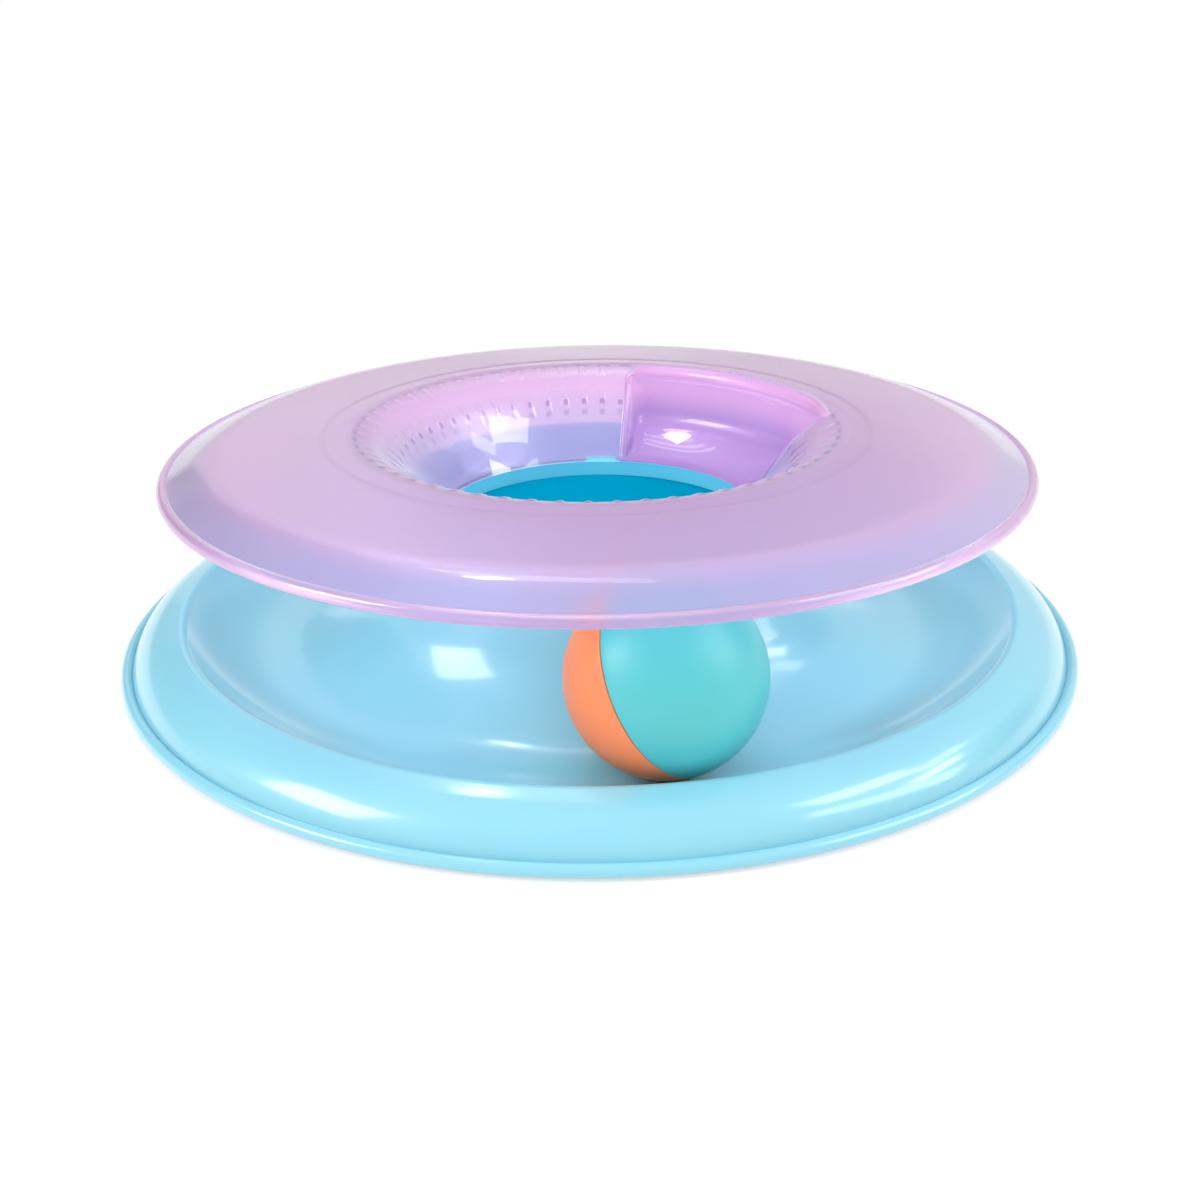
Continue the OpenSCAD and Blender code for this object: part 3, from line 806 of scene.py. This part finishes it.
def plastic(name, colour, roughness, transmission=0.0, coat=0.0, coat_roughness=0.03,
            specular=0.5, grain=0.00004, tints=(), dull=None, film=None):
    """Moulded plastic: a slow drift in shade, and fine grain in its gloss and its surface.

    Tints are (mask, its sizes, colour), the lowest first. Dull is a ring (inner radius, outer
    radius, coat roughness) where the coat shines less. Film is (share, colour) of what passes
    straight through for shadows, diffuse light and mirror images.
    """
    mat = bpy.data.materials.new(name)
    tree = Tree(mat)
    shader = tree.nodes["Principled BSDF"]
    place = tree.place()
    drift = tree.add("TexNoise", {"Vector": place, "Scale": DRIFT_SCALE, "Detail": 2.0})["Fac"]
    fine = tree.add("TexNoise", {"Vector": place, "Scale": GRAIN_SCALE, "Detail": 3.0})["Fac"]
    shade = tree.mix(drift, colour, (*(c * (1 - DRIFT) for c in colour[:3]), 1.0))
    for mask, sizes, tint in tints:
        shade = tree.mix(mask(tree, place, *sizes), shade, tint)
    gloss = tree.add("MapRange", {"Value": fine, "To Min": roughness - GLOSS_SPREAD,
                                  "To Max": roughness + GLOSS_SPREAD})["Result"]
    bump = tree.add("Bump", {"Height": fine, "Strength": GRAIN_BUMP, "Distance": grain})["Normal"]
    if dull:
        inner, outer, dull_roughness = dull
        reach = tree.reach(place)
        band = tree.math("MULTIPLY", tree.ramp(reach, (inner - 1) * MM, inner * MM),
                         tree.ramp(reach, (outer + 2) * MM, outer * MM))
        coat_roughness = tree.ramp(band, 0.0, 1.0, coat_roughness, dull_roughness)
    tree.feed(shader, {
        "Base Color": shade, "Roughness": gloss, "Normal": bump, "IOR": IOR,
        "Specular IOR Level": specular, "Transmission Weight": transmission,
        "Coat Weight": coat, "Coat Roughness": coat_roughness})
    if film:
        share, tint = film
        ray = tree.add("LightPath")
        # A ray let through rough plastic counts as glossy too; a mirrored one is glossy alone
        mirrored = tree.math("GREATER_THAN", ray["Is Glossy Ray"], ray["Is Transmission Ray"])
        lit = tree.math("MAXIMUM", ray["Is Shadow Ray"], ray["Is Diffuse Ray"])
        passes = tree.math("MULTIPLY", tree.math("MAXIMUM", lit, mirrored), share)
        clear = tree.add("BsdfTransparent", {"Color": tint})["BSDF"]
        blend = tree.mix_shader(passes, shader.outputs["BSDF"], clear)
        tree.feed(tree.nodes["Material Output"], {"Surface": blend})
    return mat


BASE_MAT = plastic(
    "sky_blue_plastic", srgb(134, 201, 219), 0.34, coat=1.0, coat_roughness=0.12, grain=0.00002,
    # Painted light: the bore and its ring are lighter and more cyan, as light glows through them
    # and bounces off the cap
    tints=[(ring_mask, (BORE_R + 1.2, BORE_R + 0.4), srgb(112, 216, 238))])
TOP_MAT = plastic(
    "lilac_plastic", srgb(233, 186, 234), 0.34, transmission=0.8, coat=1.0, coat_roughness=0.04,
    grain=0.00002, dull=(54.0, 64.0, 0.3), film=(0.95, srgb(246, 248, 255)),
    # Painted see-through: the funnel turns bluer towards its foot, where the blue hub behind it
    # shows through
    tints=[(ring_mask, (56.0, 48.0), srgb(212, 186, 232)),
           # Painted see-through: the outer slope turns bluer, where the blue dish under it shows
           # through
           (ring_mask, (96.0, 104.0), srgb(212, 190, 232)),
           # Painted see-through: the rim bead is deeper pink, where the view crosses more plastic
           # edge-on
           (ring_mask, (DISC_R - 2.6, DISC_R - 1.4), srgb(238, 184, 226)),
           # Painted shadows: dark marks at the outer and inner ends of the nubs
           (nub_shadow_mask, (61.9, 0.8, 0.4), srgb(184, 150, 202)),
           (nub_shadow_mask, (50.7, 0.65, 0.19), srgb(160, 130, 192))])
POCKET_MAT = plastic(
    "orchid_plastic", srgb(196, 154, 222), 0.34, transmission=0.6, coat=0.6, coat_roughness=0.03,
    grain=0.00002, film=(0.85, srgb(242, 232, 248)),
    # Painted shade and see-through: darker and bluer low in the pocket, over the blue hub; lighter
    # and pinker up towards the lip
    tints=[(height_mask, (41.0, 51.0), srgb(240, 182, 234))])
CAP_MAT = plastic("cyan_plastic", srgb(0, 138, 174), 0.5, specular=0.0)
ORANGE_MAT = plastic("orange_plastic", srgb(244, 136, 86), 0.4)
TEAL_MAT = plastic("teal_plastic", srgb(72, 188, 194), 0.45, coat=0.7, coat_roughness=0.42)
PAD_MAT = plastic("clear_rubber", srgb(215, 236, 242), 0.6, grain=0.0001)
BEAD_MAT = plastic("bead_plastic", srgb(201, 204, 210), 0.3)


# ---------------------------------------------------------------- pieces on their bodies

def dress(obj, mat, body, slot, *nodes):
    """Gives a piece its material and its body, and hides the nodes that it stands for. The slot is
    not used.
    """
    obj.data.materials.append(mat)
    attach(obj, body)
    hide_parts(*nodes)
    return obj


def joined(name, objs):
    """Several meshes as one object."""
    mesh = bpy.data.meshes.new(name)
    bm = bmesh.new()
    for o in objs:
        bm.from_mesh(o.data)
        old = o.data
        bpy.data.objects.remove(o)
        bpy.data.meshes.remove(old)
    bm.to_mesh(mesh)
    bm.free()
    out = bpy.data.objects.new(name, mesh)
    bpy.context.scene.collection.objects.link(out)
    return out


keys = [key_lug(turn) for turn in KEY_TURNS]
dress(joined("dish", [base_dish()] + keys), BASE_MAT, "base", "base_plastic", "base_dish")
dress(centre_cap(), CAP_MAT, "base", "cap_plastic", "centre_cap")
dress(joined("pads", [grip_pad(k) for k in range(4)]), PAD_MAT, "base", "pad_rubber", "grip_pads")
dress(top_disc(), TOP_MAT, "top", "top_plastic", "top_disc")
dress(pocket_tray(), POCKET_MAT, "top", "pocket_plastic", "scoop_pocket")
dress(ball_half("ball_orange_shell", 1), ORANGE_MAT, "ball", "ball_orange", "ball_orange_half")
dress(ball_half("ball_teal_shell", -1), TEAL_MAT, "ball", "ball_teal", "ball_teal_half")
dress(rattle_bead(), BEAD_MAT, "rattle", "rattle_plastic", "rattle_bead")


# ---------------------------------------------------------------- camera

ELEVATION, DISTANCE, ROLL = math.radians(22.95), 398.0, math.radians(-0.70)
TARGET = Vector((0.29, 0.0, 7.04))
FOCAL_PIXELS, FRAME_PIXELS, SENSOR = 1467.0, 1200.0, 36.0
forward = Vector((0, math.cos(ELEVATION), -math.sin(ELEVATION)))
right, up = Vector((1, 0, 0)), Vector((0, math.sin(ELEVATION), math.cos(ELEVATION)))
across = math.cos(ROLL) * right + math.sin(ROLL) * up
upright = -math.sin(ROLL) * right + math.cos(ROLL) * up
camera_data = bpy.data.cameras.new("camera")
camera_data.sensor_width = SENSOR
camera_data.lens = FOCAL_PIXELS / FRAME_PIXELS * SENSOR
camera_data.clip_start, camera_data.clip_end = 0.01, 50.0
camera = bpy.data.objects.new("camera", camera_data)
bpy.context.scene.collection.objects.link(camera)
camera.matrix_world = Matrix.Translation((TARGET - forward * DISTANCE) * MM) @ Matrix((
    (across.x, upright.x, -forward.x, 0), (across.y, upright.y, -forward.y, 0),
    (across.z, upright.z, -forward.z, 0), (0, 0, 0, 1)))
bpy.context.scene.camera = camera


# ---------------------------------------------------------------- light, world and floor

AIM = (0, 0, 0.03)
# How far the lamps stand from that point, in metres
LAMP_REACH = 1.2


def heading(azimuth, elevation):
    """A direction from the object: azimuth to the right of the front, in degrees."""
    a, e = math.radians(azimuth), math.radians(elevation)
    return Vector((math.cos(e) * math.sin(a), -math.cos(e) * math.cos(a), math.sin(e)))


def soft_box(name, place, size, watts, roll=0.0):
    """A rectangular lamp that looks at the object, turned about its own axis by a roll."""
    data = bpy.data.lights.new(name, "AREA")
    data.shape = "RECTANGLE"
    data.size, data.size_y = size
    data.energy = watts
    lamp = bpy.data.objects.new(name, data)
    bpy.context.scene.collection.objects.link(lamp)
    lamp.location = place
    look = (Vector(AIM) - Vector(place)).to_track_quat("-Z", "Y").to_matrix()
    lamp.rotation_euler = (look @ Matrix.Rotation(math.radians(roll), 3, "Z")).to_euler()
    return lamp


# Azimuth, elevation, width, height, watts and roll of the lamps round the object
LAMPS = {
    "lamp_left": (-68, 32, 0.5, 0.46, 6.5, 0),
    "lamp_right": (76, 47, 0.46, 0.24, 2.2, -16),
    "lamp_right_low": (68, 25, 0.8, 0.2, 2.3, -34),
    "lamp_side": (95, 36, 0.3, 0.12, 0.5, 0),
    "lamp_star": (84, 28, 0.3, 0.12, 1.0, 0),
    "lamp_back": (204, 62, 0.09, 0.075, 0.45, 0),
    "lamp_strip_0": (191, 59.5, 0.46, 0.02, 0.13, -28),
    "lamp_strip_1": (189.5, 62.5, 0.46, 0.02, 0.13, -28),
    "lamp_strip_2": (188, 65.5, 0.46, 0.02, 0.13, -28),
}
for lamp_name, (turn, high, wide, tall, watts, roll) in LAMPS.items():
    soft_box(lamp_name, heading(turn, high) * LAMP_REACH + Vector(AIM), (wide, tall), watts, roll)
# The overhead lamp lights the colours and leaves no highlight of its own
overhead = soft_box("lamp_top", (0, 0, 1.3), (1.4, 1.4), 7.0)
overhead.visible_glossy = False

world = bpy.data.worlds.new("studio")
bpy.context.scene.world = world
sky = Tree(world)
sky.nodes.clear()
view = sky.add("TexCoord")["Generated"]


def cone(azimuth, elevation, outer, inner, far, near):
    """A level that goes from far to near inside a cone round a direction of the sky."""
    toward = heading(azimuth, elevation)
    dot = sky.add("VectorMath", {0: view, 1: toward}, operation="DOT_PRODUCT")["Value"]
    return sky.ramp(dot, math.cos(math.radians(outer)), math.cos(math.radians(inner)), far, near)


# The room that lights the object and shows in its gloss: lighter in front, darker at some
# places round it. Azimuth, elevation, outer and inner angle, level outside and inside
ROOM_FRONT = (-10, 8, 75, 15, 0.66, 0.8)
ROOM_DARK = ((-124, 34, 27, 25, 1.0, 0.4), (-130, 14, 24, 22, 1.0, 0.42),
             (104, 16, 20, 10, 1.0, 0.2), (177, 21, 15, 8, 1.0, 0.5))
# The white sweep behind the object shows low down all round, up to this height in degrees
SWEEP_FULL, SWEEP_END = math.radians(4.5), math.radians(10)
room = cone(*ROOM_FRONT)
for dark in ROOM_DARK:
    room = sky.math("MULTIPLY", room, cone(*dark))
sweep = sky.ramp(sky.part(view, "Z"), math.sin(SWEEP_FULL), math.sin(SWEEP_END), 1.0, 0.0)
ray = sky.add("LightPath")
seen = sky.math("MAXIMUM", ray["Is Camera Ray"], ray["Is Transmission Ray"])
lit = sky.add("Background", {"Color": WHITE, "Strength": sky.math("MAXIMUM", room, sweep)})
white = sky.add("Background", {"Color": WHITE, "Strength": 1.0})
sky.add("OutputWorld", {
    "Surface": sky.mix_shader(seen, lit["Background"], white["Background"])})

FLOOR_HALF = 6
# Near the object the floor glows by the first share and keeps the object's shadow; further
# out than the second distance it is plain white, as the background is
FLOOR_FADE, FLOOR_SHARE = (0.13, 0.4), 0.6
floor_corners = [(x * FLOOR_HALF, y * FLOOR_HALF, 0)
                 for x, y in ((-1, -1), (1, -1), (1, 1), (-1, 1))]
floor_mesh = bpy.data.meshes.new("floor")
floor_mesh.from_pydata(floor_corners, [], [(0, 1, 2, 3)])
floor = bpy.data.objects.new("floor", floor_mesh)
bpy.context.scene.collection.objects.link(floor)
floor_mat = bpy.data.materials.new("floor_white")
ground = Tree(floor_mat)
matt = ground.nodes["Principled BSDF"]
ground.feed(matt, {"Base Color": (0.95, 0.95, 0.95, 1), "Roughness": 0.9})
glow = ground.add("Emission", {"Strength": 1.0})["Emission"]
ray = ground.add("LightPath")
seen = ground.math("MAXIMUM", ray["Is Camera Ray"], ray["Is Glossy Ray"])
fade = ground.ramp(ground.length(ground.place()), *FLOOR_FADE, FLOOR_SHARE, 1.0)
blend = ground.mix_shader(ground.math("MULTIPLY", seen, fade), matt.outputs["BSDF"], glow)
ground.feed(ground.nodes["Material Output"], {"Surface": blend})
floor.data.materials.append(floor_mat)

bpy.context.scene.view_settings.view_transform = "Standard"
